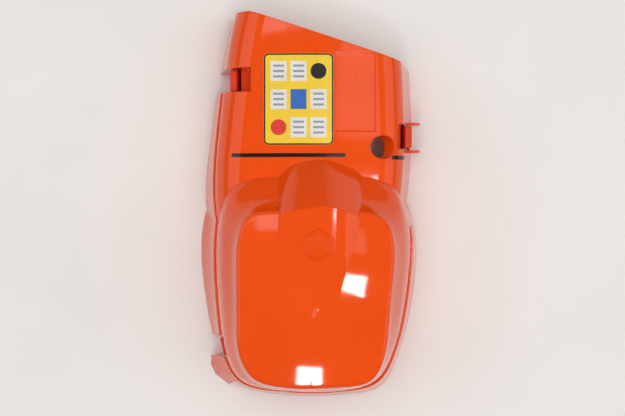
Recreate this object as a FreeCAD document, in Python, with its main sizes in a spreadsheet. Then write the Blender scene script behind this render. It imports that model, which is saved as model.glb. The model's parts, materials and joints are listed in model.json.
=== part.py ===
import FreeCAD, Part
import math
import os

import Sketcher
from FreeCAD import Placement, Rotation, Vector

# Chain saw top cover with its air filter housing, in millimetres.
# The origin is under the middle of the cover, on the plane that the rim stands on:
# +X is the saw's right, +Y its front, +Z up.  The filter dome is at the rear (-Y).

DOCUMENT = FreeCAD.newDocument("air_filter_housing")

# ---------------------------------------------------------------- driving sizes
SIZES = {
    # moulding
    "wall": 2.4,
    "plateau_z": 62.0,
    "plateau_crown": 3.6,
    "shoulder_left_r": 23.0,
    "shoulder_right_r": 18.0,
    "dome_crown_z": 94.5,
    "dome_crown_r": 420.0,
    "dome_edge_r": 3.0,
    "nose_crown_z": 96.5,
    "nose_ridge_x": 14.0,
    "nose_left_r": 170.0,
    "nose_right_r": 35.0,
    "skirt_step": 1.0,
    "skirt_top_z": 40.0,
    # slanted front edge
    "front_left_x": -42.4,
    "front_left_y": 133.0,
    "front_right_x": 63.3,
    "front_right_y": 98.3,
    "front_end_y": 132.2,
    # label and sight mark
    "label_width": 46.6,
    "label_length": 61.2,
    "label_x": -7.2,
    "label_y": 72.8,
    "label_thick": 0.4,
    "label_corner_r": 3.5,
    "mark_width": 2.5,
    "mark_thick": 0.5,
    "mark_top_y": 35.5,
    "mark_right_y": 34.0,
    # valve hole
    "valve_r": 7.8,
    "valve_depth": 9.0,
    "valve_tilt": 36.0,
    "valve_x": 49.5,
    "valve_y": 40.9,
    "valve_z": 62.4,
    # latches
    "lever_gap": 1.2,
    "lever_thick": 4.4,
    "lever_reach": 36.0,
    "lever_tail": 4.4,
    "lever_hook": 4.4,
    "lever_eye_r": 3.6,
    "pin_r": 1.5,
    "pin_fit": 0.06,
    "pivot_z": 12.0,
    "spring_thick": 0.7,
    "spring_width": 7.0,
    # filter
    "stud_x": 3.0,
    "stud_y": -66.0,
    "stud_r": 3.0,
    "stud_low_z": 13.0,
    "boss_r": 7.5,
    "boss_low_z": 72.0,
    "cap_thick": 4.0,
    "tray_low_z": 28.0,
    "tray_thick": 3.0,
    "tray_gap": 5.0,
    "pleat_depth": 3.0,
    "pleat_pitch": 4.4,
    "paper_thick": 1.2,
    "filter_x": 3.0,
    "filter_y": -52.0,
    "filter_width": 66.0,
    "filter_length": 78.0,
    "collar_y": -31.0,
    "collar_bore_r": 14.0,
    "collar_wall": 2.6,
    "collar_low_z": 6.0,
    "ring_r": 1.3,
    "knob_r": 13.0,
    "knob_height": 11.6,
    "knob_hub_r": 6.5,
    "knob_gap": 0.3,
    "washer_r": 8.0,
    "washer_thick": 1.6,
    "partition_y": 6.0,
    "partition_low_z": 27.0,
    "foil_thick": 0.6,
    "rivet_head_r": 3.0,
    "rivet_head": 1.2,
    "rivet_shank_r": 1.2,
    "rivet_grip": 1.3,
}

sheet = DOCUMENT.addObject("Spreadsheet::Sheet", "sizes")
for row, (alias, value) in enumerate(SIZES.items(), start=1):
    sheet.set("A%d" % row, alias)
    sheet.set("B%d" % row, str(value))
    sheet.setAlias("B%d" % row, alias)
DOCUMENT.recompute()


def size(alias):
    """One driving size, read from the sheet."""
    return float(sheet.get(alias))


# ---------------------------------------------------------------- small geometry helpers
def block(x0, x1, y0, y1, z0, z1):
    """A box between opposite corners."""
    return Part.makeBox(x1 - x0, y1 - y0, z1 - z0, Vector(x0, y0, z0))


def rounded_section(points, radii):
    """A closed wire through points, the inner ones rounded by tangent arcs."""
    edges = []
    start = points[0]
    for before, corner, after, radius in zip(points, points[1:], points[2:], radii):
        back = (before - corner).normalize()
        ahead = (after - corner).normalize()
        half = back.getAngle(ahead) / 2
        tangent = radius / math.tan(half)
        first = corner + back * tangent
        last = corner + ahead * tangent
        middle = corner + (back + ahead).normalize() * (radius / math.sin(half) - radius)
        edges.append(Part.LineSegment(start, first).toShape())
        edges.append(Part.Arc(first, middle, last).toShape())
        start = last
    edges.append(Part.LineSegment(start, points[-1]).toShape())
    edges.append(Part.LineSegment(points[-1], points[0]).toShape())
    return Part.Wire(edges)


def outset(points, distance):
    """Points of a clockwise outline moved outwards along the outline's normals."""
    moved = []
    for index, (x, y) in enumerate(points):
        x0, y0 = points[index - 1]
        x1, y1 = points[(index + 1) % len(points)]
        span = math.hypot(x1 - x0, y1 - y0)
        moved.append((x - (y1 - y0) / span * distance, y + (x1 - x0) / span * distance))
    return moved


def blend_outlines(low, high, share):
    """The outline between two outlines with as many points."""
    return [(a + (c - a) * share, b + (d - b) * share) for (a, b), (c, d) in zip(low, high)]


def closed_curve(points, z):
    curve = Part.BSplineCurve()
    curve.interpolate([Vector(x, y, z) for x, y in points], PeriodicFlag=True)
    return Part.Wire([curve.toShape()])


# ---------------------------------------------------------------- outer and inner forms
# Cross-sections of the front body, front to rear: the wall's foot (at z = 0) and its
# top corner (at the plateau) on each side, and the plateau's height at the left corner.
FRONT_SECTIONS = [
    # y, left foot, left corner, right foot, right corner, drop of the plateau
    (142.0, -50.0, -45.0, 66.5, 56.5, 0.0),
    (100.0, -61.5, -53.5, 69.5, 60.0, 0.0),
    (60.0, -67.0, -58.0, 71.5, 61.8, 0.0),
    (15.0, -72.0, -60.5, 69.5, 60.5, 0.0),
    (-30.0, -62.0, -52.0, 62.0, 52.0, 6.0),
]
FOOT_Z = -6.0


def foot_below_rim(inset):
    """The forms start below the rim, the hollow ones lower still, and are trimmed there."""
    return FOOT_Z - abs(inset)


def front_body(inset):
    """The low front half: drafted walls, wide round shoulders, crowned plateau."""
    sections = []
    foot = foot_below_rim(inset)
    for y, left_foot, left_corner, right_foot, right_corner, drop in FRONT_SECTIONS:
        top = size("plateau_z") - drop
        left_draft = (left_corner - left_foot) / top
        right_draft = (right_corner - right_foot) / top
        y += abs(inset)
        points = [
            Vector(left_foot + left_draft * foot + inset, y, foot),
            Vector(left_corner + inset, y, top - inset),
            Vector((left_corner + right_corner) / 2, y, top + size("plateau_crown") - inset),
            Vector(right_corner - inset, y, top - inset),
            Vector(right_foot + right_draft * foot - inset, y, foot),
        ]
        radii = [size("shoulder_left_r") - inset, 300.0, size("shoulder_right_r") - inset]
        sections.append(rounded_section(points, radii))
    return Part.makeLoft(sections, True, False)


# Outlines of the dome, clockwise from the middle of its front, at the rim, at the ledge,
# at the foot of the front slope and at the top edge.
RIM = [(4, 30), (40, 28), (64, 12), (72.5, -10), (73.5, -45), (68.5, -78), (60.5, -105), (50, -123.5),
       (26, -129.8), (2, -131), (-26, -129.3), (-50, -122), (-62.5, -103), (-69.5, -78), (-74, -48),
       (-74, -12), (-63.5, 14), (-34, 28)]
LEDGE = [(4, 32), (38, 30), (58, 14), (67.5, -8), (67.8, -45), (63.2, -76), (56, -101), (46, -117),
         (25, -123.2), (2, -124.6), (-24, -123), (-47, -116.5), (-57, -100), (-61, -77), (-63.3, -48),
         (-62.5, -10), (-55, 14), (-32, 29)]
SHOULDER = [(5, 22), (36, 20.8), (55, 12), (63, -10), (63.2, -46), (59.3, -76), (53, -100), (43, -115),
            (23.5, -121), (2, -122.2), (-22.5, -120.6), (-43, -114.5), (-52.5, -99.5), (-56.3, -76.5),
            (-57.7, -48), (-57, -12), (-50, 12), (-28, 21)]
SLOPE = [(5, 10.5), (34, 9.5), (53, 1.5), (59.5, -16), (59.6, -47), (56.2, -76), (51.2, -99.5), (41.8, -114),
         (22, -119.2), (2, -120.2), (-21, -118.8), (-39.6, -113), (-48.8, -99), (-52.2, -76.3), (-53, -48),
         (-51.8, -17), (-46, 2.5), (-26, 9.5)]
TOP = [(5, -1.5), (31, -4), (47.8, -8.3), (53.8, -20), (53.7, -48), (51.4, -76), (48, -98.5),
       (39.8, -112.2), (20, -116.4), (2, -117.4), (-20, -116.2), (-35.6, -111), (-44.4, -98), (-47, -76),
       (-47, -48), (-45.2, -17), (-39.5, -6.8), (-22, -3)]
LEDGE_Z = 42.0
SHOULDER_Z = 64.0
SLOPE_Z = 74.0
TOP_Z = 92.0
DOME_MIDDLE = (4.0, -58.0)


def dome_body(inset):
    """The filter dome: stacked outlines under a wide ball crown, its outer edge rounded."""
    foot = foot_below_rim(inset)
    levels = [
        (foot, blend_outlines(RIM, LEDGE, foot / LEDGE_Z)),
        (0.0, RIM),
        (LEDGE_Z, LEDGE),
        (SHOULDER_Z, SHOULDER),
        (SLOPE_Z, SLOPE),
        (TOP_Z, TOP),
        (TOP_Z + 8.0, blend_outlines(SLOPE, TOP, 1.35)),
    ]
    wires = [closed_curve(outset(outline, -inset), z) for z, outline in levels]
    body = Part.makeLoft(wires, True, False)
    radius = size("dome_crown_r")
    x, y = DOME_MIDDLE
    crown = Part.makeSphere(radius - inset, Vector(x, y, size("dome_crown_z") - radius))
    body = body.common(crown)
    if inset == 0.0:
        top_edges = [e for e in body.Edges if e.BoundBox.ZMin > 80.0 and e.Length > 200.0]
        body = body.makeFillet(size("dome_edge_r"), top_edges)
    return body


# Outlines of the nose, the tapered ridge in front of and over the dome.
NOSE_FOOT = [(3, 39.6), (16.4, 38.1), (27.8, 32.6), (36.5, 26), (38, 12), (36, -15), (31, -45),
             (10, -78), (-14, -50), (-23, -15), (-22.5, 12), (-20.5, 26.5), (-11.7, 36)]
NOSE_TOP = [(3, 0.8), (16, 0.8), (25.5, -4), (31.2, -8.5), (32.8, -17), (31, -30), (26, -48),
            (8, -74), (-12, -52), (-19.5, -28), (-19.2, -14), (-18, -5.7), (-10, -2.4)]
NOSE_FOOT_Z = 58.0
NOSE_TOP_Z = 96.0
NOSE_OVER = 3.0
NOSE_CROWN_FALL = 1.9
NOSE_CROWN_START = 60.0


def arc_drop(radius, across):
    """How far a round crown falls at a distance from its ridge."""
    return radius - math.sqrt(radius ** 2 - across ** 2)


def nose_crown(inset):
    """A long solid under two tangent arcs, flatter on the left, sinking to the rear."""
    fall = math.radians(NOSE_CROWN_FALL)
    x = size("nose_ridge_x")
    y = NOSE_CROWN_START
    top = size("nose_crown_z") - inset + y * math.tan(fall)
    left_r = size("nose_left_r") - inset
    right_r = size("nose_right_r") - inset
    ridge = Vector(x, y, top)
    low_left = Vector(x - 50.0, y, 40.0)
    low_right = Vector(x + 30.0, y, 40.0)
    left = Vector(x - 50.0, y, top - arc_drop(left_r, 50.0))
    left_middle = Vector(x - 25.0, y, top - arc_drop(left_r, 25.0))
    right = Vector(x + 30.0, y, top - arc_drop(right_r, 30.0))
    right_middle = Vector(x + 15.0, y, top - arc_drop(right_r, 15.0))
    profile = Part.Wire([
        Part.Arc(left, left_middle, ridge).toShape(),
        Part.Arc(ridge, right_middle, right).toShape(),
        Part.makeLine(right, low_right),
        Part.makeLine(low_right, low_left),
        Part.makeLine(low_left, left),
    ])
    return Part.Face(profile).extrude(Vector(0, -220.0, -220.0 * math.tan(fall)))


def nose_body(inset):
    """The nose: one even slope at the front, crowned side to side."""
    over = (NOSE_TOP_Z + NOSE_OVER - NOSE_FOOT_Z) / (NOSE_TOP_Z - NOSE_FOOT_Z)
    high = blend_outlines(NOSE_FOOT, NOSE_TOP, over)
    levels = [(NOSE_FOOT_Z, NOSE_FOOT), (NOSE_TOP_Z + NOSE_OVER, high)]
    wires = [closed_curve(outset(outline, -inset), z) for z, outline in levels]
    return Part.makeLoft(wires, True, True).common(nose_crown(inset))


def whole_body(inset):
    """Everything under the cover's skin, set in by the given distance."""
    return front_body(inset).fuse(dome_body(inset)).fuse(nose_body(inset))


# ---------------------------------------------------------------- cover shell
WALL = size("wall")
BELOW = -60.0
FAR = 200.0
BELOW_RIM = block(-FAR, FAR, -FAR, FAR, BELOW, 0.0)

# Latch places: name, pivot x, pivot y, the pocket's opening angle about Z (0 opens to -X),
# the pocket's width along the pivot, its depth behind the pivot and the height of its top.
LATCHES = [
    ("left", -50.0, 86.2, 0.0, 16.0, 11.0, 80.0),
    ("right", 65.6, 48.4, 180.0, 16.6, 6.6, 80.0),
    ("rear", -55.5, -92.6, 14.0, 14.2, 7.0, 54.0),
]
STUD_GRIP = 12.0
POCKET_FLOOR_Z = 3.0
# How far the pocket's floor reaches outwards from the pivot, and the notch beyond it.
FLOOR_OUT = 5.0
NOTCH_OUT = 52.0
# The ledge behind each lever's head: its distance from the pivot, low and high sides.
LEDGE_BEHIND = 3.6
LEDGE_LOW_Z = 37.6
LEDGE_TOP_Z = 40.0


def latch_placement(x, y, angle, z=0.0):
    return Placement(Vector(x, y, z), Rotation(Vector(0, 0, 1), angle))


def pocket_walls(width, behind, top):
    """The lining round a latch pocket, drawn at the pivot and opening to -X."""
    half = width / 2 + WALL
    return block(-40.0, behind + WALL, -half, half, -8.0, top + WALL)


def pocket_boxes(grown):
    """Every latch's lining as a filled box in its place, grown by a distance."""
    boxes = []
    for _, x, y, angle, width, behind, top in LATCHES:
        box = pocket_walls(width + 2 * grown, behind + grown, top)
        box.Placement = latch_placement(x, y, angle)
        boxes.append(box)
    return boxes


def pocket_space(width, behind, top):
    """The room in a latch pocket, down to its floor, and the notch outside it, down to the rim."""
    half = width / 2
    room = block(-FLOOR_OUT, behind, -half, half, POCKET_FLOOR_Z, top)
    room = room.cut(block(LEDGE_BEHIND, behind, -half, half, LEDGE_LOW_Z, LEDGE_TOP_Z))
    notch = block(-NOTCH_OUT, -FLOOR_OUT, -half, half, -8.0, top)
    slot = block(-1.0, 6.0, -4.0, 4.0, -8.0, POCKET_FLOOR_Z + 1.0)
    return room.fuse([notch, slot])


def front_cut():
    """Everything in front of the slanted front edge."""
    left = Vector(size("front_left_x"), size("front_left_y"), 0)
    right = Vector(size("front_right_x"), size("front_right_y"), 0)
    along = right - left
    angle = math.degrees(math.atan2(along.y, along.x))
    box = block(-FAR, FAR, 0, FAR, BELOW, FAR)
    box.Placement = Placement(left, Rotation(Vector(0, 0, 1), angle))
    return box.fuse(block(-FAR, FAR, size("front_end_y"), FAR, BELOW, FAR))


def valve_axis():
    tilt = math.radians(size("valve_tilt"))
    return Vector(math.sin(tilt), 0, math.cos(tilt))


def valve_cylinder(radius, above, below):
    """A cylinder on the valve hole's axis, from below the skin to above it."""
    middle = Vector(size("valve_x"), size("valve_y"), size("valve_z"))
    return Part.makeCylinder(radius, above + below, middle - valve_axis() * below, valve_axis())


def skirt_band():
    """The lower skirt, a step proud of the upper wall: left side, round the rear, right side."""
    proud = front_body(-size("skirt_step")).fuse(dome_body(-size("skirt_step")))
    zones = [
        block(-FAR, 0.0, -FAR, 79.6, 0.0, size("skirt_top_z")),
        block(-1.0, FAR, -FAR, -12.4, 0.0, size("skirt_top_z")),
    ]
    return proud.common(zones[0].fuse(zones[1]))


# Fins on both sides of the right pocket: x0, x1, y0, y1, z0, z1.
FINS = [
    (66.0, 76.0, 56.9, 58.7, 6.0, 28.0),
    (66.0, 76.0, 38.1, 39.9, 6.0, 28.0),
]
# The flared corner of the skirt behind the rear pocket: its foot, its upper end and their heights.
FLARE_FOOT = [(-56, -101.7), (-69.3, -101.7), (-69.3, -110), (-66, -116.5), (-57, -123.5), (-50, -116)]
FLARE_TOP = [(-50, -101.7), (-56, -101.7), (-54, -105.5), (-50.5, -110.5), (-45.5, -115.5), (-42, -110)]
FLARE_TOP_Z = 44.0


def flare():
    low = [Vector(x, y, 0) for x, y in FLARE_FOOT]
    high = [Vector(x, y, FLARE_TOP_Z) for x, y in FLARE_TOP]
    wires = [Part.makePolygon(ring + ring[:1]) for ring in (low, high)]
    return Part.makeLoft(wires, True, True)


# The moulding's gate mark on top of the dome: a low round nub.
GATE = (2.9, -67.5)
GATE_R = 9.0
GATE_PROUD = 0.5


def gate_mark():
    x, y = GATE
    middle_x, middle_y = DOME_MIDDLE
    top = size("dome_crown_z") - arc_drop(size("dome_crown_r"), math.hypot(x - middle_x, y - middle_y))
    return Part.makeSphere(GATE_R, Vector(x, y, top + GATE_PROUD - GATE_R))


# Shallow panel beside the label: x0, x1, y0, y1 and its depth.
PANEL = (16.6, 44.0, 51.5, 103.4)
PANEL_DEPTH = 0.7
# Plain six-sided badge on the nose.
BADGE_X = 6.0
BADGE_Y = -24.0
BADGE_R = 10.8
BADGE_RING = 2.2
BADGE_DOT_R = 3.2
BADGE_PROUD = 0.6
# Air window in the partition: x0, x1, z0, z1.
AIR_WINDOW = (14.0, 46.0, 38.0, 52.0)


def ring_of_points(x, y, radius, count, turn):
    step = 2 * math.pi / count
    return [
        Vector(x + radius * math.sin(i * step + turn), y + radius * math.cos(i * step + turn), 80.0)
        for i in range(count + 1)
    ]


def hexagon(radius):
    wire = Part.makePolygon(ring_of_points(BADGE_X, BADGE_Y, radius, 6, 0.0))
    return Part.Face(wire).extrude(Vector(0, 0, 30.0))


def badge():
    """A raised ring and dot on the nose, following its crown."""
    ring = hexagon(BADGE_R).cut(hexagon(BADGE_R - BADGE_RING))
    dot = Part.makeCylinder(BADGE_DOT_R, 30.0, Vector(BADGE_X, BADGE_Y, 80.0))
    skin = nose_body(-BADGE_PROUD).cut(nose_body(WALL / 2))
    return ring.fuse(dot).common(skin)


def rivet_places():
    """Heads of the heat shield's rivets: on the foil's lower face, near its corners."""
    foil_low = front_body(WALL + size("foil_thick"))
    places = []
    for x in (FOIL[0] + RIVET_IN, FOIL[1] - RIVET_IN):
        for y in (FOIL[2] + RIVET_IN, FOIL[3] - RIVET_IN):
            line = Part.makeLine(Vector(x, y, 0), Vector(x, y, FAR))
            places.append(Vector(x, y, line.common(foil_low).BoundBox.ZMax))
    return places


# The heat shield's outline under the plateau: x0, x1, y0, y1.
FOIL = (-33.0, 37.0, 41.0, 95.0)
RIVET_IN = 6.0
RIVET_GAP = 0.35


def build_shell():
    outer = whole_body(0.0)
    inner = whole_body(WALL)
    shell = outer.cut(BELOW_RIM).fuse([skirt_band(), flare(), gate_mark()])
    shell = shell.cut(inner)
    # pocket linings, valve tube, filter boss and partition, all inside the skin
    linings = pocket_boxes(0.0)
    linings.append(valve_cylinder(size("valve_r") + 2.0, 12.0, size("valve_depth")))
    boss_top = size("dome_crown_z") + 10.0
    boss_low = size("boss_low_z")
    stud = Vector(size("stud_x"), size("stud_y"), boss_low)
    linings.append(Part.makeCylinder(size("boss_r"), boss_top - boss_low, stud))
    rear = size("partition_y")
    linings.append(block(-FAR, FAR, rear, rear + WALL, size("partition_low_z"), FAR))
    inside = linings[0].fuse(linings[1:]).common(outer).cut(BELOW_RIM)
    shell = shell.fuse([inside] + [block(*corners) for corners in FINS])
    # openings
    openings = [front_cut()]
    for _, x, y, angle, width, behind, top in LATCHES:
        space = pocket_space(width, behind, top)
        space.Placement = latch_placement(x, y, angle)
        openings.append(space)
        pin_start = Vector(0, -width / 2 - WALL, 0)
        pin = Part.makeCylinder(size("pin_r"), width + 2 * WALL, pin_start, Vector(0, 1, 0))
        pin.Placement = latch_placement(x, y, angle, size("pivot_z"))
        openings.append(pin)
    openings.append(valve_cylinder(size("valve_r"), 20.0, size("valve_depth") + 5.0))
    openings.append(Part.makeCylinder(size("stud_r"), STUD_GRIP, stud))
    for place in rivet_places():
        deep = size("foil_thick") + size("rivet_grip")
        openings.append(Part.makeCylinder(size("rivet_shank_r"), deep, place))
    x0, x1, z0, z1 = AIR_WINDOW
    openings.append(block(x0, x1, rear - 1.0, rear + WALL + 1.0, z0, z1))
    panel = block(*PANEL, 50.0, FAR).common(front_body(-1.0)).cut(front_body(PANEL_DEPTH))
    openings.append(panel)
    return shell.cut(openings).fuse(badge())


# ---------------------------------------------------------------- document objects
def feature(name, shape):
    """A sub-part whose surfaces follow the skin, computed from the sheet's sizes."""
    item = DOCUMENT.addObject("Part::Feature", name)
    item.Label = name
    item.Shape = shape
    item.Placement = Placement()
    return item


def bound(item, **cells):
    """Properties of an object tied to expressions on the sheet."""
    for name, expression in cells.items():
        item.setExpression(name, expression)
    return item


def new_body(name):
    body = DOCUMENT.addObject("PartDesign::Body", name)
    body.Label = name
    return body


def origin_plane(body, role):
    return next(item for item in body.Origin.OriginFeatures if item.Role == role)


def new_sketch(body, name, role, height=0.0):
    sketch = body.newObject("Sketcher::SketchObject", name)
    sketch.AttachmentSupport = (origin_plane(body, role), [""])
    sketch.MapMode = "FlatFace"
    sketch.AttachmentOffset = Placement(Vector(0, 0, height), Rotation())
    return sketch


def draw_polygon(sketch, points):
    corners = [Vector(x, y, 0) for x, y in points]
    for start, end in zip(corners, corners[1:] + corners[:1]):
        sketch.addGeometry(Part.LineSegment(start, end))


def draw_circle(sketch, radius_cell, x=0.0, y=0.0):
    """A circle whose radius follows a cell."""
    middle = Vector(x, y, 0)
    index = sketch.addGeometry(Part.Circle(middle, Vector(0, 0, 1), 1.0))
    constraint = sketch.addConstraint(Sketcher.Constraint("Radius", index, 1.0))
    sketch.setExpression("Constraints[%d]" % constraint, radius_cell)


def pad(body, sketch, length_cell, middle=False, reverse=False):
    item = body.newObject("PartDesign::Pad", sketch.Name + "_pad")
    item.Profile = sketch
    item.setExpression("Length", length_cell)
    item.Midplane = middle
    item.Reversed = reverse
    return item


def pocket_through(body, sketch):
    item = body.newObject("PartDesign::Pocket", sketch.Name + "_pocket")
    item.Profile = sketch
    item.Type = "ThroughAll"
    item.Midplane = True
    return item


def draw_rounded_rectangle(sketch, x, y, width, length, corner):
    """Lines and corner arcs about a middle point."""
    half_width = width / 2 - corner
    half_length = length / 2 - corner
    for quarter in range(4):
        side_x = half_width if quarter in (0, 3) else -half_width
        side_y = half_length if quarter in (0, 1) else -half_length
        middle = Vector(x + side_x, y + side_y, 0)
        circle = Part.Circle(middle, Vector(0, 0, 1), corner)
        start = quarter * math.pi / 2
        sketch.addGeometry(Part.ArcOfCircle(circle, start, start + math.pi / 2))
    for turn, (dx, dy, span) in enumerate(
        [(width / 2, 0, half_length), (0, length / 2, half_width),
         (-width / 2, 0, half_length), (0, -length / 2, half_width)]
    ):
        along = Vector(0, span, 0) if turn in (0, 2) else Vector(span, 0, 0)
        middle = Vector(x + dx, y + dy, 0)
        sketch.addGeometry(Part.LineSegment(middle - along, middle + along))


PARTS = []

# ---- shell, label and sight mark
PARTS.append(feature("cover_shell", build_shell()))


def skin_piece(zone, thickness):
    """A thin piece that lies on the front body's skin inside a zone."""
    return zone.common(front_body(-thickness)).cut(front_body(0.0))


def label_zone():
    """The label's rounded outline, standing through the plateau."""
    half_width = size("label_width") / 2
    half_length = size("label_length") / 2
    x = size("label_x")
    y = size("label_y")
    zone = block(x - half_width, x + half_width, y - half_length, y + half_length, 50.0, 80.0)
    upright = [edge for edge in zone.Edges if edge.BoundBox.ZLength > 20.0]
    return zone.makeFillet(size("label_corner_r"), upright)


PARTS.append(feature("info_label", skin_piece(label_zone(), size("label_thick"))))

# Sight mark strips across the plateau and on the right shoulder: name, x0, x1, y.
MARKS = [("top", -51.8, 24.0, size("mark_top_y")), ("right", 55.2, 64.6, size("mark_right_y"))]
half_mark = size("mark_width") / 2
for mark, x0, x1, y in MARKS:
    zone = block(x0, x1, y - half_mark, y + half_mark, 20.0, 80.0)
    PARTS.append(feature("sight_mark_" + mark, skin_piece(zone, size("mark_thick"))))

# ---- heat shield
x0, x1, y0, y1 = FOIL
foil = block(x0, x1, y0, y1, 40.0, 80.0).common(front_body(WALL))
foil = foil.cut(front_body(WALL + size("foil_thick")))
foil = foil.cut([Part.makeCylinder(size("rivet_shank_r"), 5.0, p - Vector(0, 0, 1)) for p in rivet_places()])
PARTS.append(feature("heat_shield", foil))

rivets = []
for number, place in enumerate(rivet_places(), start=1):
    head = DOCUMENT.addObject("Part::Cylinder", "rivet_head_%d" % number)
    bound(head, Radius="sizes.rivet_head_r", Height="sizes.rivet_head")
    head.Placement = Placement(place - Vector(0, 0, size("rivet_head") + RIVET_GAP), Rotation())
    shank = DOCUMENT.addObject("Part::Cylinder", "rivet_shank_%d" % number)
    shank_height = "sizes.foil_thick + sizes.rivet_grip + %s" % (2 * RIVET_GAP)
    bound(shank, Radius="sizes.rivet_shank_r", Height=shank_height)
    shank.Placement = Placement(place - Vector(0, 0, 2 * RIVET_GAP), Rotation())
    rivets += [head, shank]
shield_rivets = DOCUMENT.addObject("Part::MultiFuse", "shield_rivets")
shield_rivets.Label = "shield_rivets"
shield_rivets.Shapes = rivets
PARTS.append(shield_rivets)

# ---- latches
half_thick = size("lever_thick") / 2
reach = size("lever_reach")
tail = size("lever_tail")
hook = size("lever_hook")
LEVER_PROFILE = [
    (-half_thick, -tail),
    (hook, -tail),
    (hook, -tail + 2.4),
    (half_thick, -tail + 4.4),
    (half_thick, reach * 0.74),
    (0.8, reach),
    (-half_thick - 1.4, reach - 1.0),
    (-half_thick, reach * 0.8),
]
SPRING_HIGH = 25.0
SPRING_BEND = 14.0
SPRING_LOW = 6.0
SPRING_GAP = 0.35

for name, x, y, angle, width, behind, _ in LATCHES:
    place = latch_placement(x, y, angle, size("pivot_z"))
    lever_width = "%s - 2 * sizes.lever_gap" % width
    lever = new_body("latch_%s_lever" % name)
    profile = new_sketch(lever, "lever_profile_" + name, "XZ_Plane")
    draw_polygon(profile, LEVER_PROFILE)
    pad(lever, profile, lever_width, middle=True)
    eye = new_sketch(lever, "lever_eye_" + name, "XZ_Plane")
    draw_circle(eye, "sizes.lever_eye_r")
    pad(lever, eye, lever_width, middle=True)
    bore = new_sketch(lever, "lever_bore_" + name, "XZ_Plane")
    draw_circle(bore, "sizes.pin_r + sizes.pin_fit")
    pocket_through(lever, bore)
    lever.Placement = place
    PARTS.append(lever)

    pin = DOCUMENT.addObject("Part::Cylinder", "latch_%s_pin" % name)
    pin.Label = "latch_%s_pin" % name
    bound(pin, Radius="sizes.pin_r", Height="%s + 2 * sizes.wall" % width)
    along_y = Placement(Vector(0, width / 2 + WALL, 0), Rotation(Vector(1, 0, 0), 90))
    pin.Placement = place * along_y
    PARTS.append(pin)

    spring = new_body("latch_%s_spring" % name)
    leaf = new_sketch(spring, "spring_leaf_" + name, "XZ_Plane")
    thick = size("spring_thick")
    near = half_thick + SPRING_GAP
    draw_polygon(leaf, [
        (behind, SPRING_HIGH), (behind - thick, SPRING_HIGH), (behind - thick, SPRING_BEND + 0.4),
        (near, SPRING_BEND - 6.0), (near, SPRING_LOW), (near + thick, SPRING_LOW),
        (near + thick, SPRING_BEND - 6.4), (behind, SPRING_BEND),
    ])
    pad(spring, leaf, "sizes.spring_width", middle=True)
    spring.Placement = place
    PARTS.append(spring)

# ---- filter chamber
tray_low = size("tray_low_z")
tray_top = tray_low + size("tray_thick")
tray_front = size("partition_y") - size("tray_gap")
stud_x = size("stud_x")
stud_y = size("stud_y")
collar_r = size("collar_bore_r") + size("collar_wall")
COLLAR_MIDDLE = Vector(size("filter_x"), size("collar_y"), size("collar_low_z"))
RING_UP = 5.0
STUD_PLAY = 0.1


def tray_slab(inset, low, high, front):
    return dome_body(inset).common(block(-FAR, FAR, -FAR, front, low, high))


ring_place = COLLAR_MIDDLE + Vector(0, 0, RING_UP)
tray = tray_slab(WALL + size("tray_gap"), tray_low, tray_top, tray_front)
collar_height = tray_top - size("collar_low_z")
tray = tray.fuse(Part.makeCylinder(collar_r, collar_height, COLLAR_MIDDLE))
tray = tray.cut(pocket_boxes(size("tray_gap")))
tray = tray.cut([
    Part.makeCylinder(size("collar_bore_r"), collar_height + 1.0, COLLAR_MIDDLE - Vector(0, 0, 0.5)),
    Part.makeCylinder(size("stud_r") + STUD_PLAY, 20.0, Vector(stud_x, stud_y, tray_low - 5.0)),
    Part.makeTorus(collar_r, size("ring_r"), ring_place),
])
PARTS.append(feature("filter_tray", tray))

seal = tray_slab(WALL, tray_low, tray_top, size("partition_y"))
collar_room = Part.makeCylinder(collar_r + 1.0, 40.0, COLLAR_MIDDLE)
knob_room = Part.makeCylinder(size("knob_r"), 40.0, Vector(stud_x, stud_y, 0))
seal = seal.cut([tray, collar_room, knob_room] + pocket_boxes(0.0))
PARTS.append(feature("chamber_seal", seal))

foam_low = size("partition_low_z") - 6.0
foam = block(-FAR, FAR, size("partition_y") - 1.2, size("partition_y") + WALL + 1.2, foam_low, foam_low + 6.0)
PARTS.append(feature("partition_seal", foam.common(whole_body(WALL))))

collar_ring = DOCUMENT.addObject("Part::Torus", "collar_ring")
collar_ring.Label = "collar_ring"
bound(collar_ring, Radius1="sizes.collar_bore_r + sizes.collar_wall", Radius2="sizes.ring_r")
collar_ring.Placement = Placement(ring_place, Rotation())
PARTS.append(collar_ring)


def pleat_points(inset):
    """A zigzag round a rounded rectangle, evenly pitched, set in by a distance."""
    width = size("filter_width") / 2
    length = size("filter_length") / 2
    corner = 14.0
    straight_x = 2 * (width - corner)
    straight_y = 2 * (length - corner)
    bend = corner * math.pi / 2
    total = 2 * (straight_x + straight_y) + 4 * bend
    count = 2 * int(total / size("pleat_pitch"))
    points = []
    for step in range(count):
        along = total * step / count
        out = (size("pleat_depth") / 2 if step % 2 else -size("pleat_depth") / 2) - inset
        turn = 0
        for leg in (straight_y, bend, straight_x, bend, straight_y, bend, straight_x, bend):
            if along <= leg:
                break
            along -= leg
            turn += 1
        quarter = turn // 2
        if turn % 2:
            swing = along / corner
            middle_x, middle_y = straight_x / 2, straight_y / 2
            if quarter in (1, 3):
                middle_x, middle_y = middle_y, middle_x
            local = Vector(middle_x + (corner + out) * math.cos(swing),
                           middle_y + (corner + out) * math.sin(swing), 0)
        else:
            half_x = width if quarter in (0, 2) else length
            half_run = (straight_y if quarter in (0, 2) else straight_x) / 2
            local = Vector(half_x + out, along - half_run, 0)
        points.append(Rotation(Vector(0, 0, 1), 90.0 * quarter).multVec(local))
    return points


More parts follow.
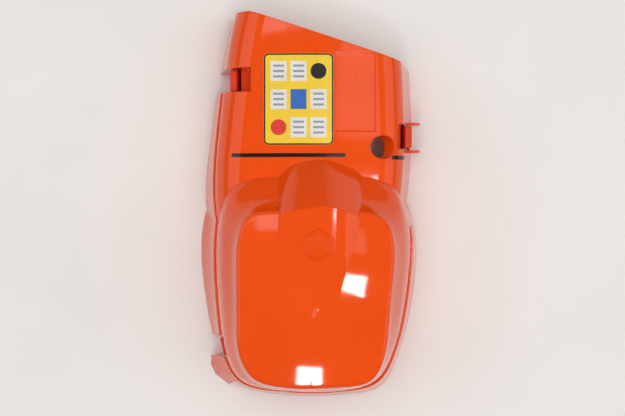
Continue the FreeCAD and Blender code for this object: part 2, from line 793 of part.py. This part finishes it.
def pleat_prism(inset, low, high):
    middle = Vector(size("filter_x"), size("filter_y"), low)
    corners = [middle + point for point in pleat_points(inset)]
    face = Part.Face(Part.makePolygon(corners + corners[:1]))
    return face.extrude(Vector(0, 0, high - low))


cap_top = size("boss_low_z")
cap_low = cap_top - size("cap_thick")
element = pleat_prism(0.0, tray_top, cap_low)
element = element.cut(pleat_prism(size("paper_thick"), tray_top - 1.0, cap_low + 1.0))
PARTS.append(feature("filter_element", element))

CAP_OVER = 6.0
CAP_CORNER = 17.0
cap = new_body("filter_cap")
cap_outline = new_sketch(cap, "cap_outline", "XY_Plane")
draw_rounded_rectangle(cap_outline, size("filter_x") - stud_x, size("filter_y") - stud_y,
                       size("filter_width") + CAP_OVER, size("filter_length") + CAP_OVER, CAP_CORNER)
pad(cap, cap_outline, "sizes.cap_thick")
cap_bore = new_sketch(cap, "cap_bore", "XY_Plane")
draw_circle(cap_bore, "sizes.stud_r")
pocket_through(cap, cap_bore)
cap.Placement = Placement(Vector(stud_x, stud_y, cap_low), Rotation())
PARTS.append(cap)

filter_stud = DOCUMENT.addObject("Part::Cylinder", "filter_stud")
filter_stud.Label = "filter_stud"
bound(filter_stud, Radius="sizes.stud_r", Height="sizes.boss_low_z + %s - sizes.stud_low_z" % STUD_GRIP)
filter_stud.Placement = Placement(Vector(stud_x, stud_y, size("stud_low_z")), Rotation())
PARTS.append(filter_stud)

washer_low = tray_low - size("washer_thick")
washer_disc = DOCUMENT.addObject("Part::Cylinder", "washer_disc")
bound(washer_disc, Radius="sizes.washer_r", Height="sizes.washer_thick")
washer_hole = DOCUMENT.addObject("Part::Cylinder", "washer_hole")
bound(washer_hole, Radius="sizes.stud_r", Height="sizes.washer_thick")
knob_washer = DOCUMENT.addObject("Part::Cut", "knob_washer")
knob_washer.Label = "knob_washer"
knob_washer.Base = washer_disc
knob_washer.Tool = washer_hole
knob_washer.Placement = Placement(Vector(stud_x, stud_y, washer_low), Rotation())
PARTS.append(knob_washer)

knob = new_body("filter_knob")
flange_sketch = new_sketch(knob, "knob_flange", "XY_Plane")
draw_circle(flange_sketch, "sizes.knob_r")
pad(knob, flange_sketch, "sizes.knob_height / 4")
hub_sketch = new_sketch(knob, "knob_hub", "XY_Plane")
draw_circle(hub_sketch, "sizes.knob_hub_r")
pad(knob, hub_sketch, "sizes.knob_height")
wing_sketch = new_sketch(knob, "knob_wing", "XY_Plane")
WING_IN = 4.0
WING_HALF = 1.6
wing_out = size("knob_r") - 0.8
draw_polygon(wing_sketch, [
    (WING_IN, -WING_HALF), (wing_out, -WING_HALF), (wing_out, WING_HALF), (WING_IN, WING_HALF),
])
wing = pad(knob, wing_sketch, "sizes.knob_height * 0.9")
wings = knob.newObject("PartDesign::PolarPattern", "knob_wings")
wings.Originals = [wing]
wings.Axis = (wing_sketch, ["N_Axis"])
wings.Angle = 360
wings.Occurrences = 4
knob.Tip = wings
bore_sketch = new_sketch(knob, "knob_bore", "XY_Plane")
draw_circle(bore_sketch, "sizes.stud_r + sizes.pin_fit")
pocket_through(knob, bore_sketch)
# the flange faces up against the washer, the wings hang down
knob_place = Vector(stud_x, stud_y, washer_low - size("knob_gap"))
knob.Placement = Placement(knob_place, Rotation(Vector(1, 0, 0), 180))
PARTS.append(knob)

# ---------------------------------------------------------------- check and write
DOCUMENT.recompute()
for item in DOCUMENT.Objects:
    if "Invalid" in item.State or "Error" in item.State:
        raise RuntimeError("%s: %s" % (item.Name, item.State))
for item in PARTS:
    if item.Shape.isNull() or not item.Shape.isValid():
        raise RuntimeError("%s has no valid shape" % item.Label)

os.makedirs("parts", exist_ok=True)
for item in PARTS:
    item.Shape.exportStep("parts/%s.step" % item.Label)
    print("%-22s %9.1f mm3, %d solid(s)" % (item.Label, item.Shape.Volume, len(item.Shape.Solids)))
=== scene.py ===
import json
import math

import bmesh
import bpy
from mathutils import Matrix, Vector
from mathutils.bvhtree import BVHTree


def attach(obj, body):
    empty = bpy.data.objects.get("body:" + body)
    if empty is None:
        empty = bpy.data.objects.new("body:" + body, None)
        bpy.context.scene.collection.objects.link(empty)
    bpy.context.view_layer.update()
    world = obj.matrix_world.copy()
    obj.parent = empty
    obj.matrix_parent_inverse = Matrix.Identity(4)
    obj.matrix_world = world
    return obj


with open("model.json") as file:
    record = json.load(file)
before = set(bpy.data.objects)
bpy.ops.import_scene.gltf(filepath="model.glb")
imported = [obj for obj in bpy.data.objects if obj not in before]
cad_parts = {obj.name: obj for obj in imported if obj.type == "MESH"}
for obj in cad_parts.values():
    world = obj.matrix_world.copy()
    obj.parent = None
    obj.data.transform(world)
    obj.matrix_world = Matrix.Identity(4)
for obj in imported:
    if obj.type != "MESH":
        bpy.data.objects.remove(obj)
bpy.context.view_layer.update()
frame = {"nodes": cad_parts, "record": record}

MM = 0.001
NODES = frame["nodes"]
SLOT_OF = {part["node"]: part["material_slot"] for part in frame["record"]["subparts"]}


# ---------------------------------------------------------------- materials
class Shader:
    """A procedural material: a Principled shader and the textures that feed it."""

    def __init__(self, name):
        self.material = bpy.data.materials.new(name)
        self.material.use_nodes = True
        self.tree = self.material.node_tree
        self.surface = self.tree.nodes["Principled BSDF"]
        self.place = self.node("ShaderNodeNewGeometry").outputs["Position"]

    def node(self, kind, **values):
        made = self.tree.nodes.new(kind)
        for key, value in values.items():
            setattr(made, key, value)
        return made

    def link(self, source, target):
        self.tree.links.new(source, target)

    def set(self, **values):
        for key, value in values.items():
            self.surface.inputs[key.replace("_", " ")].default_value = value
        return self

    def noise(self, scale, detail=3.0, roughness=0.55, stretch=None):
        """Noise fixed to the object, its scale in cells per metre."""
        source = self.place
        if stretch:
            mapping = self.node("ShaderNodeMapping")
            mapping.inputs["Scale"].default_value = stretch
            self.link(self.place, mapping.inputs["Vector"])
            source = mapping.outputs["Vector"]
        made = self.node("ShaderNodeTexNoise")
        made.inputs["Scale"].default_value = scale
        made.inputs["Detail"].default_value = detail
        made.inputs["Roughness"].default_value = roughness
        self.link(source, made.inputs["Vector"])
        return made.outputs["Fac"]

    def ramp(self, value, stops):
        made = self.node("ShaderNodeValToRGB")
        band = made.color_ramp
        while len(band.elements) < len(stops):
            band.elements.new(0.5)
        for element, (position, colour) in zip(band.elements, stops):
            element.position = position
            element.color = (*colour, 1.0)
        self.link(value, made.inputs["Fac"])
        return made.outputs["Color"]

    def colour(self, value, low, high, start=0.35, end=0.65):
        self.link(self.ramp(value, [(start, low), (end, high)]), self.surface.inputs["Base Color"])
        return self

    def roughness(self, value, low, high):
        spread = self.node("ShaderNodeMapRange")
        spread.inputs["From Min"].default_value = 0.3
        spread.inputs["From Max"].default_value = 0.7
        spread.inputs["To Min"].default_value = low
        spread.inputs["To Max"].default_value = high
        self.link(value, spread.inputs["Value"])
        self.link(spread.outputs["Result"], self.surface.inputs["Roughness"])
        return self

    def bump(self, value, depth, strength=1.0, rounding=0.0):
        """Small relief; with rounding, the edges also look rounded to that radius."""
        made = self.node("ShaderNodeBump")
        if rounding:
            bevel = self.node("ShaderNodeBevel")
            bevel.samples = 6
            bevel.inputs["Radius"].default_value = rounding
            self.link(bevel.outputs["Normal"], made.inputs["Normal"])
        made.inputs["Strength"].default_value = strength
        made.inputs["Distance"].default_value = depth
        self.link(value, made.inputs["Height"])
        self.link(made.outputs["Normal"], self.surface.inputs["Normal"])
        return self


def tinted(colour, share):
    return tuple(channel * share for channel in colour)


ORANGE = (0.93, 0.082, 0.003)
LEVER_ORANGE = (0.74, 0.045, 0.003)
YELLOW = (0.94, 0.62, 0.012)
MARK_BLACK = (0.012, 0.010, 0.010)
EDGE_ROUNDING = 1.2 * MM


def orange_gloss(name, colour, rough):
    shader = Shader(name)
    shader.colour(shader.noise(22.0), tinted(colour, 0.97), tinted(colour, 1.02))
    shader.roughness(shader.noise(60.0), rough * 0.8, rough * 1.2)
    shader.bump(shader.noise(900.0, detail=1.0), 0.00002, 0.05, rounding=EDGE_ROUNDING)
    shader.set(IOR=1.5, Specular_IOR_Level=0.5)
    return shader.material


def plastic(name, colour, rough, grain_depth, spread=0.25):
    shader = Shader(name)
    shader.colour(shader.noise(80.0), tinted(colour, 1.0 - spread), tinted(colour, 1.0 + spread))
    shader.roughness(shader.noise(300.0), rough * 0.85, rough * 1.15)
    shader.bump(shader.noise(2600.0), grain_depth, 0.4)
    return shader.material


def metal(name, colour, rough, stretch):
    shader = Shader(name)
    brushed = shader.noise(500.0, stretch=stretch)
    shader.colour(brushed, tinted(colour, 0.85), colour)
    shader.roughness(brushed, rough * 0.7, rough * 1.4)
    shader.bump(brushed, 0.00004, 0.3)
    shader.set(Metallic=1.0)
    return shader.material


def foam(name):
    shader = Shader(name)
    cells = shader.node("ShaderNodeTexVoronoi")
    cells.inputs["Scale"].default_value = 1400.0
    shader.link(shader.place, cells.inputs["Vector"])
    dark, light = (0.004, 0.004, 0.004), (0.035, 0.034, 0.033)
    shader.colour(cells.outputs["Distance"], dark, light, 0.0, 0.8)
    shader.bump(cells.outputs["Distance"], 0.0004, 0.9)
    shader.set(Roughness=0.95)
    return shader.material


def fleece(name):
    shader = Shader(name)
    fibres = shader.noise(1500.0, detail=6.0, roughness=0.8, stretch=(1.0, 1.0, 0.35))
    shader.colour(fibres, (0.62, 0.56, 0.42), (0.82, 0.78, 0.66))
    shader.bump(fibres, 0.0002, 0.7)
    shader.set(Roughness=0.9)
    return shader.material


def foil(name):
    shader = Shader(name)
    dimples = shader.node("ShaderNodeTexVoronoi")
    dimples.inputs["Scale"].default_value = 260.0
    dimples.inputs["Randomness"].default_value = 0.15
    shader.link(shader.place, dimples.inputs["Vector"])
    shader.colour(shader.noise(40.0), (0.72, 0.72, 0.73), (0.86, 0.86, 0.87))
    shader.roughness(shader.noise(120.0), 0.2, 0.4)
    shader.bump(dimples.outputs["Distance"], 0.0008, 0.8)
    shader.set(Metallic=1.0)
    return shader.material


MATERIALS = {
    "orange_gloss": orange_gloss("orange_gloss_shell", ORANGE, 0.05),
    "orange_lever": orange_gloss("orange_lever_nylon", LEVER_ORANGE, 0.25),
    "label_yellow": plastic("label_film", YELLOW, 0.25, 0.00001, 0.02),
    "mark_black": plastic("mark_film", MARK_BLACK, 0.12, 0.00001),
    "foil": foil("dimpled_foil"),
    "rivet_steel": metal("rivet_metal", (0.72, 0.72, 0.74), 0.3, (1.0, 1.0, 1.0)),
    "black_plastic": plastic("black_nylon", (0.022, 0.022, 0.024), 0.45, 0.00008),
    "knob_plastic": plastic("knob_nylon", (0.03, 0.03, 0.032), 0.4, 0.00008),
    "foam_black": foam("foam_cells"),
    "rubber_black": plastic("ring_rubber", (0.016, 0.016, 0.016), 0.6, 0.00003),
    "filter_paper": fleece("filter_fleece"),
    "zinc_steel": metal("zinc_plate", (0.62, 0.64, 0.68), 0.3, (1.0, 1.0, 0.1)),
    "spring_steel": metal("spring_strip", (0.45, 0.45, 0.48), 0.25, (0.1, 1.0, 1.0)),
}

for name, node in NODES.items():
    node.data.materials.clear()
    node.data.materials.append(MATERIALS[SLOT_OF[name]])

# ---------------------------------------------------------------- label print
# Plain shapes on the label, in millimetres on the plateau: x to the right, y to the front.
LABEL = NODES["info_label"]
LABEL_TOP = BVHTree.FromObject(LABEL, bpy.context.evaluated_depsgraph_get())
LABEL_SPAN = (-30.5, 16.1, 42.2, 103.4)
INK_LIFT = 0.06
BORDER_MARGIN = 0.15
BORDER_WIDTH = 1.0
BORDER_OUTER_CORNER = 3.3
BORDER_INNER_CORNER = 2.4
# A height in metres above everything, from which points are dropped onto the label.
DROP_FROM = 0.2


def circle_points(x, y, radius, count=40):
    step = 2 * math.pi / count
    turns = [i * step for i in range(count)]
    return [(x + radius * math.cos(turn), y + radius * math.sin(turn)) for turn in turns]


def box_points(x0, x1, y0, y1):
    return [(x0, y0), (x1, y0), (x1, y1), (x0, y1)]


def rounded_box_points(x0, x1, y0, y1, corner, count=8):
    """A rounded rectangle with extra points along its sides, so that it can follow a curve."""
    points = []
    centres = [(x1 - corner, y1 - corner), (x0 + corner, y1 - corner), (x0 + corner, y0 + corner),
               (x1 - corner, y0 + corner)]
    for quarter, (x, y) in enumerate(centres):
        for i in range(count + 1):
            turn = (quarter + i / count) * math.pi / 2
            points.append((x + corner * math.cos(turn), y + corner * math.sin(turn)))
        next_x, next_y = centres[(quarter + 1) % 4]
        start_x, start_y = points[-1]
        for i in range(1, count):
            points.append((start_x + (next_x - x) * i / count, start_y + (next_y - y) * i / count))
    return points


def band(outer, inner):
    """Four-cornered faces between two closed outlines with as many points."""
    count = len(outer)
    return [[outer[i], outer[(i + 1) % count], inner[(i + 1) % count], inner[i]] for i in range(count)]


def print_layer(name, faces, colour, layer):
    """Flat shapes laid on the label's surface, each layer a little above the one below."""
    build = bmesh.new()
    for face in faces:
        corners = []
        for x, y in face:
            hit = LABEL_TOP.ray_cast(Vector((x * MM, y * MM, DROP_FROM)), Vector((0, 0, -1)))[0]
            corners.append(build.verts.new(hit + Vector((0, 0, layer * INK_LIFT * MM))))
        build.faces.new(corners)
    bmesh.ops.remove_doubles(build, verts=build.verts, dist=1e-6)
    bmesh.ops.recalc_face_normals(build, faces=build.faces)
    mesh = bpy.data.meshes.new(name)
    build.to_mesh(mesh)
    build.free()
    mesh.materials.append(plastic(name + "_ink", colour, 0.25, 0.00001, 0.05))
    piece = bpy.data.objects.new(name, mesh)
    bpy.context.scene.collection.objects.link(piece)
    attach(piece, "housing")


def inset(box, margin):
    x0, x1, y0, y1 = box
    return (x0 + margin, x1 - margin, y0 + margin, y1 - margin)


def label_border():
    outer = rounded_box_points(*inset(LABEL_SPAN, BORDER_MARGIN), BORDER_OUTER_CORNER)
    inner = rounded_box_points(*inset(LABEL_SPAN, BORDER_MARGIN + BORDER_WIDTH), BORDER_INNER_CORNER)
    return band(outer, inner)


# A plain pattern of blocks, bars and discs: three columns of three.
COLUMNS = (-20.5, -7.2, 6.1)
ROWS = (91.5, 72.8, 54.1)
BLUE_CELL = (COLUMNS[1], ROWS[1])
RED_CELL = (COLUMNS[0], ROWS[2])
BLACK_CELL = (COLUMNS[2], ROWS[0])
COLOURED_CELLS = (BLUE_CELL, RED_CELL, BLACK_CELL)
WHITE_CELLS = [(x, y) for x in COLUMNS for y in ROWS if (x, y) not in COLOURED_CELLS]
CELL_HALF = (5.3, 6.6)
DISC_R = 5.3
BAR_HALF = (3.6, 0.7)
BAR_STEPS = (-3.6, 0.0, 3.6)
WHITE_INK = (0.80, 0.79, 0.76)
BLUE_INK = (0.02, 0.14, 0.50)
RED_INK = (0.75, 0.03, 0.015)
GREY_INK = (0.30, 0.32, 0.36)
BLACK_INK = (0.012, 0.012, 0.012)


def block_points(x, y, half):
    return box_points(x - half[0], x + half[0], y - half[1], y + half[1])


whites = [block_points(x, y, CELL_HALF) for x, y in WHITE_CELLS]
greys = [block_points(x, y + step, BAR_HALF) for x, y in WHITE_CELLS for step in BAR_STEPS]
print_layer("label_white", whites, WHITE_INK, 1)
print_layer("label_blue", [block_points(*BLUE_CELL, CELL_HALF)], BLUE_INK, 1)
print_layer("label_red", [circle_points(*RED_CELL, DISC_R)], RED_INK, 1)
print_layer("label_grey", greys, GREY_INK, 2)
print_layer("label_black", label_border() + [circle_points(*BLACK_CELL, DISC_R)], BLACK_INK, 2)

# ---------------------------------------------------------------- stage
FLOOR_COLOUR = (0.90, 0.88, 0.85)
FLOOR_HALF = 3.0
ROOM_COLOUR = (1.0, 0.97, 0.94, 1.0)
ROOM_STRENGTH = 0.13
SENSOR_WIDTH = 36.0
CAMERA_PLACE = (0.0021, 0.0003, 1.2)
FLOOR_WIDTH_IN_VIEW = 0.4398


def make_floor():
    mesh = bpy.data.meshes.new("floor")
    half = FLOOR_HALF
    corners = [(-half, -half, 0), (half, -half, 0), (half, half, 0), (-half, half, 0)]
    mesh.from_pydata(corners, [], [(0, 1, 2, 3)])
    floor = bpy.data.objects.new("floor", mesh)
    bpy.context.scene.collection.objects.link(floor)
    shader = Shader("pale_mat")
    shader.colour(shader.noise(8.0), tinted(FLOOR_COLOUR, 0.98), tinted(FLOOR_COLOUR, 1.02))
    shader.bump(shader.noise(900.0), 0.0001, 0.2)
    shader.set(Roughness=0.7)
    mesh.materials.append(shader.material)


def area_light(name, place, size, power, target=(0.0, 0.0, 0.05)):
    """A rectangular light; place and target in metres, power in watts."""
    data = bpy.data.lights.new(name, "AREA")
    data.shape = "RECTANGLE"
    data.size, data.size_y = size
    data.energy = power
    light = bpy.data.objects.new(name, data)
    light.location = place
    light.rotation_euler = (Vector(target) - Vector(place)).to_track_quat("-Z", "Y").to_euler()
    bpy.context.scene.collection.objects.link(light)
    return light


def make_world():
    world = bpy.data.worlds.new("room")
    world.use_nodes = True
    background = world.node_tree.nodes["Background"]
    background.inputs["Color"].default_value = ROOM_COLOUR
    background.inputs["Strength"].default_value = ROOM_STRENGTH
    bpy.context.scene.world = world


def make_camera():
    data = bpy.data.cameras.new("camera")
    data.sensor_width = SENSOR_WIDTH
    data.lens = SENSOR_WIDTH * CAMERA_PLACE[2] / FLOOR_WIDTH_IN_VIEW
    camera = bpy.data.objects.new("camera", data)
    camera.location = CAMERA_PLACE
    bpy.context.scene.collection.objects.link(camera)
    bpy.context.scene.camera = camera


make_floor()
make_world()
# The large overhead light isn't mirrored in the gloss; the two small ones make the bright glints.
overhead = area_light("soft_overhead", (0.1, 0.0, 2.3), (2.4, 2.4), 34.0)
overhead.visible_glossy = False
area_light("soft_left", (-2.1, 0.3, 1.6), (2.0, 2.0), 11.0)
area_light("soft_right", (2.1, -0.2, 1.6), (2.0, 2.0), 11.0)
area_light("glint_right", (0.226, -0.05, 1.5), (0.11, 0.15), 1.6)
area_light("glint_rear", (-0.03, -0.61, 1.5), (0.15, 0.11), 1.6)
area_light("ceiling_left", (-0.23, 0.40, 1.5), (0.24, 0.26), 0.4, target=(-0.23, 0.40, 0.0))
area_light("ceiling_right", (0.25, 0.20, 1.5), (0.12, 0.14), 0.05, target=(0.25, 0.20, 0.0))
make_camera()
bpy.context.scene.view_settings.view_transform = "Standard"
